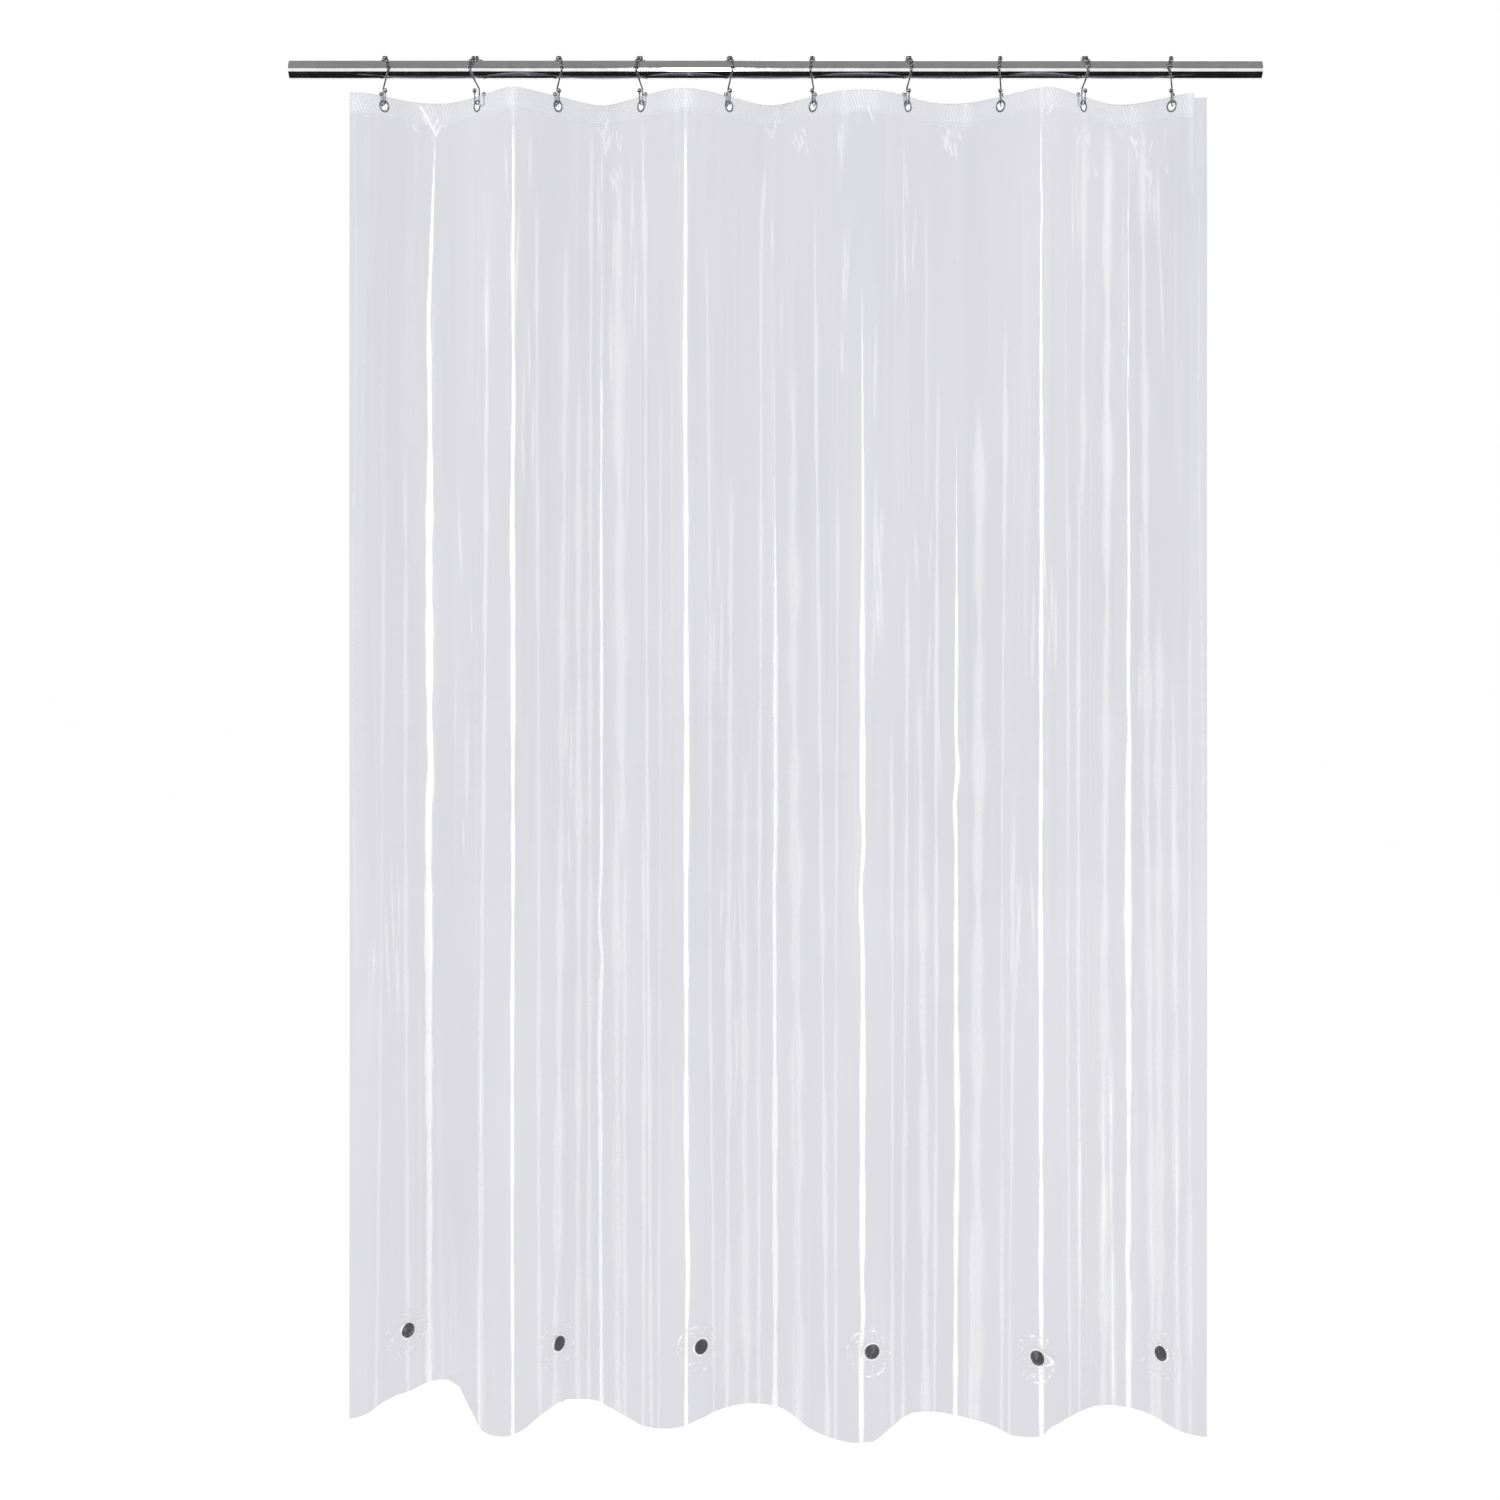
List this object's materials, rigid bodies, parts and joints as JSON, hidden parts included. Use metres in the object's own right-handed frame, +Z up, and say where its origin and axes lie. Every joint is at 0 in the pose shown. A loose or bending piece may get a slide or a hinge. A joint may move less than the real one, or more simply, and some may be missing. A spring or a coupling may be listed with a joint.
{
  "type": "shower curtain",
  "caption": "Clear film shower curtain with metal eyelets and sealed bottom magnets, hung in folds on a straight steel rod by double roller hooks; draws open and shut.",
  "frame": {"origin": "middle of the rod, on its axis", "axes": "+X along the rod to the right, +Y to the back, away from the room, +Z up"},
  "size_m": [1.335, 0.109, 1.8843],
  "materials": {
    "rod_steel": "polished stainless tube",
    "hook_chrome": "polished chrome wire",
    "roller_chrome": "polished chrome bead",
    "clear_film": "clear glossy soft film with a faint grey tint",
    "eyelet_metal": "rolled bright metal eyelet",
    "magnet_grey": "dull dark grey disc"
  },
  "bodies": {
    "rod": {"curtain_rod": "rod_steel"},
    "hook_01": {"hook_wire_01": "hook_chrome", "side_rollers_01": "roller_chrome"},
    "roller_01": {"top_roller_01": "roller_chrome"},
    "panel_01": {"film_panel_01": "clear_film", "eyelet_01": "eyelet_metal", "magnet_01": "magnet_grey"},
    "hook_02": {"hook_wire_02": "hook_chrome", "side_rollers_02": "roller_chrome"},
    "roller_02": {"top_roller_02": "roller_chrome"},
    "panel_02": {"film_panel_02": "clear_film", "eyelet_02": "eyelet_metal"},
    "hook_03": {"hook_wire_03": "hook_chrome", "side_rollers_03": "roller_chrome"},
    "roller_03": {"top_roller_03": "roller_chrome"},
    "panel_03": {"film_panel_03": "clear_film", "eyelet_03": "eyelet_metal", "magnet_02": "magnet_grey"},
    "hook_04": {"hook_wire_04": "hook_chrome", "side_rollers_04": "roller_chrome"},
    "roller_04": {"top_roller_04": "roller_chrome"},
    "panel_04": {"film_panel_04": "clear_film", "eyelet_04": "eyelet_metal"},
    "hook_05": {"hook_wire_05": "hook_chrome", "side_rollers_05": "roller_chrome"},
    "roller_05": {"top_roller_05": "roller_chrome"},
    "panel_05": {"film_panel_05": "clear_film", "eyelet_05": "eyelet_metal", "magnet_03": "magnet_grey"},
    "hook_06": {"hook_wire_06": "hook_chrome", "side_rollers_06": "roller_chrome"},
    "roller_06": {"top_roller_06": "roller_chrome"},
    "panel_06": {"film_panel_06": "clear_film", "eyelet_06": "eyelet_metal"},
    "hook_07": {"hook_wire_07": "hook_chrome", "side_rollers_07": "roller_chrome"},
    "roller_07": {"top_roller_07": "roller_chrome"},
    "panel_07": {"film_panel_07": "clear_film", "eyelet_07": "eyelet_metal", "magnet_04": "magnet_grey"},
    "hook_08": {"hook_wire_08": "hook_chrome", "side_rollers_08": "roller_chrome"},
    "roller_08": {"top_roller_08": "roller_chrome"},
    "panel_08": {"film_panel_08": "clear_film", "eyelet_08": "eyelet_metal", "magnet_05": "magnet_grey"},
    "hook_09": {"hook_wire_09": "hook_chrome", "side_rollers_09": "roller_chrome"},
    "roller_09": {"top_roller_09": "roller_chrome"},
    "panel_09": {"film_panel_09": "clear_film", "eyelet_09": "eyelet_metal"},
    "hook_10": {"hook_wire_10": "hook_chrome", "side_rollers_10": "roller_chrome"},
    "roller_10": {"top_roller_10": "roller_chrome"},
    "panel_10": {"film_panel_10": "clear_film", "eyelet_10": "eyelet_metal", "magnet_06": "magnet_grey"}
  },
  "joints": [
    {"name": "row_glide", "type": "slide", "parent": "rod", "child": "hook_01", "axis": [1, 0, 0], "range_m": [-0.05, 0.05]},
    {"name": "draw", "type": "hinge", "parent": "hook_01", "child": "panel_01", "pos_m": [-0.53798, 0, -0.0495], "axis": [0, 0, 1], "range_deg": [-3.5, 34]},
    {"name": "fold_01", "type": "hinge", "parent": "panel_01", "child": "panel_02", "pos_m": [-0.47421, 0.04247, -0.0495], "axis": [0, 0, 1], "range_deg": [-68.01, 7.01]},
    {"name": "fold_02", "type": "hinge", "parent": "panel_02", "child": "panel_03", "pos_m": [-0.35472, -0.05508, -0.0495], "axis": [0, 0, 1], "range_deg": [-7.01, 68.01]},
    {"name": "fold_03", "type": "hinge", "parent": "panel_03", "child": "panel_04", "pos_m": [-0.24191, 0.05304, -0.0495], "axis": [0, 0, 1], "range_deg": [-68.01, 7.01]},
    {"name": "fold_04", "type": "hinge", "parent": "panel_04", "child": "panel_05", "pos_m": [-0.12427, -0.04773, -0.0495], "axis": [0, 0, 1], "range_deg": [-7.01, 68.01]},
    {"name": "fold_05", "type": "hinge", "parent": "panel_05", "child": "panel_06", "pos_m": [-0.00599, 0.05205, -0.0495], "axis": [0, 0, 1], "range_deg": [-68.01, 7.01]},
    {"name": "fold_06", "type": "hinge", "parent": "panel_06", "child": "panel_07", "pos_m": [0.11695, -0.04, -0.0495], "axis": [0, 0, 1], "range_deg": [-7.01, 68.01]},
    {"name": "fold_07", "type": "hinge", "parent": "panel_07", "child": "panel_08", "pos_m": [0.24594, 0.04247, -0.0495], "axis": [0, 0, 1], "range_deg": [-68.01, 7.01]},
    {"name": "fold_08", "type": "hinge", "parent": "panel_08", "child": "panel_09", "pos_m": [0.36679, -0.05304, -0.0495], "axis": [0, 0, 1], "range_deg": [-7.01, 68.01]},
    {"name": "fold_09", "type": "hinge", "parent": "panel_09", "child": "panel_10", "pos_m": [0.48443, 0.04773, -0.0495], "axis": [0, 0, 1], "range_deg": [-68.01, 7.01]},
    {"name": "hook_turn_02", "type": "hinge", "parent": "panel_02", "child": "hook_02", "pos_m": [-0.41045, 0, -0.0495], "axis": [0, 0, 1], "range_deg": [-3.3, 32.01]},
    {"name": "hook_turn_03", "type": "hinge", "parent": "panel_03", "child": "hook_03", "pos_m": [-0.299, 0, -0.0495], "axis": [0, 0, 1], "range_deg": [-27.01, 2.79]},
    {"name": "hook_turn_04", "type": "hinge", "parent": "panel_04", "child": "hook_04", "pos_m": [-0.18482, 0, -0.0495], "axis": [0, 0, 1], "range_deg": [-2.58, 25.01]},
    {"name": "hook_turn_05", "type": "hinge", "parent": "panel_05", "child": "hook_05", "pos_m": [-0.06372, 0, -0.0495], "axis": [0, 0, 1], "range_deg": [-22.01, 2.27]},
    {"name": "hook_turn_06", "type": "hinge", "parent": "panel_06", "child": "hook_06", "pos_m": [0.05174, 0, -0.0495], "axis": [0, 0, 1], "range_deg": [-1.97, 19.01]},
    {"name": "hook_turn_07", "type": "hinge", "parent": "panel_07", "child": "hook_07", "pos_m": [0.18217, 0, -0.0495], "axis": [0, 0, 1], "range_deg": [-19.01, 1.97]},
    {"name": "hook_turn_08", "type": "hinge", "parent": "panel_08", "child": "hook_08", "pos_m": [0.3097, 0, -0.0495], "axis": [0, 0, 1], "range_deg": [-1.86, 18.01]},
    {"name": "hook_turn_09", "type": "hinge", "parent": "panel_09", "child": "hook_09", "pos_m": [0.42388, 0, -0.0495], "axis": [0, 0, 1], "range_deg": [-21.01, 2.17]},
    {"name": "hook_turn_10", "type": "hinge", "parent": "panel_10", "child": "hook_10", "pos_m": [0.54498, 0, -0.0495], "axis": [0, 0, 1], "range_deg": [-2.58, 25.01]},
    {"name": "roller_spin_01", "type": "hinge", "parent": "hook_01", "child": "roller_01", "pos_m": [-0.53798, 0, 0.0163], "axis": [0.4226, -0.9063, 0], "continuous": true},
    {"name": "roller_spin_02", "type": "hinge", "parent": "hook_02", "child": "roller_02", "pos_m": [-0.41045, 0, 0.0163], "axis": [-0.4226, -0.9063, 0], "continuous": true},
    {"name": "roller_spin_03", "type": "hinge", "parent": "hook_03", "child": "roller_03", "pos_m": [-0.299, 0, 0.0163], "axis": [0.342, -0.9397, 0], "continuous": true},
    {"name": "roller_spin_04", "type": "hinge", "parent": "hook_04", "child": "roller_04", "pos_m": [-0.18482, 0, 0.0163], "axis": [-0.309, -0.9511, 0], "continuous": true},
    {"name": "roller_spin_05", "type": "hinge", "parent": "hook_05", "child": "roller_05", "pos_m": [-0.06372, 0, 0.0163], "axis": [0.2588, -0.9659, 0], "continuous": true},
    {"name": "roller_spin_06", "type": "hinge", "parent": "hook_06", "child": "roller_06", "pos_m": [0.05174, 0, 0.0163], "axis": [-0.2079, -0.9781, 0], "continuous": true},
    {"name": "roller_spin_07", "type": "hinge", "parent": "hook_07", "child": "roller_07", "pos_m": [0.18217, 0, 0.0163], "axis": [0.2079, -0.9781, 0], "continuous": true},
    {"name": "roller_spin_08", "type": "hinge", "parent": "hook_08", "child": "roller_08", "pos_m": [0.3097, 0, 0.0163], "axis": [-0.1908, -0.9816, 0], "continuous": true},
    {"name": "roller_spin_09", "type": "hinge", "parent": "hook_09", "child": "roller_09", "pos_m": [0.42388, 0, 0.0163], "axis": [0.2419, -0.9703, 0], "continuous": true},
    {"name": "roller_spin_10", "type": "hinge", "parent": "hook_10", "child": "roller_10", "pos_m": [0.54498, 0, 0.0163], "axis": [-0.309, -0.9511, 0], "continuous": true}
  ],
  "couplings": [
    {"joint": "fold_01", "follows": "draw", "ratio": -2},
    {"joint": "fold_02", "follows": "draw", "ratio": 2},
    {"joint": "fold_03", "follows": "draw", "ratio": -2},
    {"joint": "fold_04", "follows": "draw", "ratio": 2},
    {"joint": "fold_05", "follows": "draw", "ratio": -2},
    {"joint": "fold_06", "follows": "draw", "ratio": 2},
    {"joint": "fold_07", "follows": "draw", "ratio": -2},
    {"joint": "fold_08", "follows": "draw", "ratio": 2},
    {"joint": "fold_09", "follows": "draw", "ratio": -2},
    {"joint": "hook_turn_02", "follows": "draw", "ratio": 0.9412},
    {"joint": "hook_turn_03", "follows": "draw", "ratio": -0.7941},
    {"joint": "hook_turn_04", "follows": "draw", "ratio": 0.7353},
    {"joint": "hook_turn_05", "follows": "draw", "ratio": -0.6471},
    {"joint": "hook_turn_06", "follows": "draw", "ratio": 0.5588},
    {"joint": "hook_turn_07", "follows": "draw", "ratio": -0.5588},
    {"joint": "hook_turn_08", "follows": "draw", "ratio": 0.5294},
    {"joint": "hook_turn_09", "follows": "draw", "ratio": -0.6176},
    {"joint": "hook_turn_10", "follows": "draw", "ratio": 0.7353}
  ]
}
